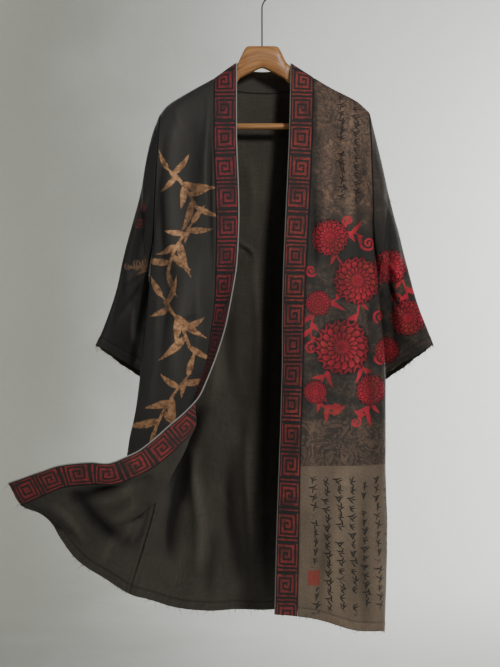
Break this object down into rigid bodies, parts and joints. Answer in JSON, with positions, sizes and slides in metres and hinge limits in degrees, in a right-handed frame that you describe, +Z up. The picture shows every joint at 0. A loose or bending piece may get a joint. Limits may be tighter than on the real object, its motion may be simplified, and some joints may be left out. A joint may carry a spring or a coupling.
{
  "type": "long open kimono robe on a wooden hanger",
  "caption": "Long open-fronted kimono robe with patterned front band, wide tapering sleeves and a blown hem, hanging on a curved wooden hanger with wire hook.",
  "frame": {"origin": "inside top of the hook, where it rests on the rail that holds it", "axes": "+Z up, the front of the robe faces -Y, the wearer's left is +X"},
  "size_m": [0.861, 0.2205, 1.3337],
  "materials": {
    "robe_cloth": "matt",
    "band_cloth": "matt",
    "piping": "matt",
    "hanger_wood": "satin",
    "hook_wire": "polished"
  },
  "bodies": {
    "root": {"back": "robe_cloth", "front_right": "robe_cloth", "front_left": "robe_cloth", "sleeve_right": "robe_cloth", "sleeve_left": "robe_cloth", "band_right": "band_cloth", "band_left": "band_cloth", "band_neck": "band_cloth", "piping_right": "piping", "piping_left": "piping", "piping_neck": "piping", "hanger_yoke": "hanger_wood", "hanger_bar": "hanger_wood", "hanger_hook": "hook_wire"}
  },
  "joints": []
}
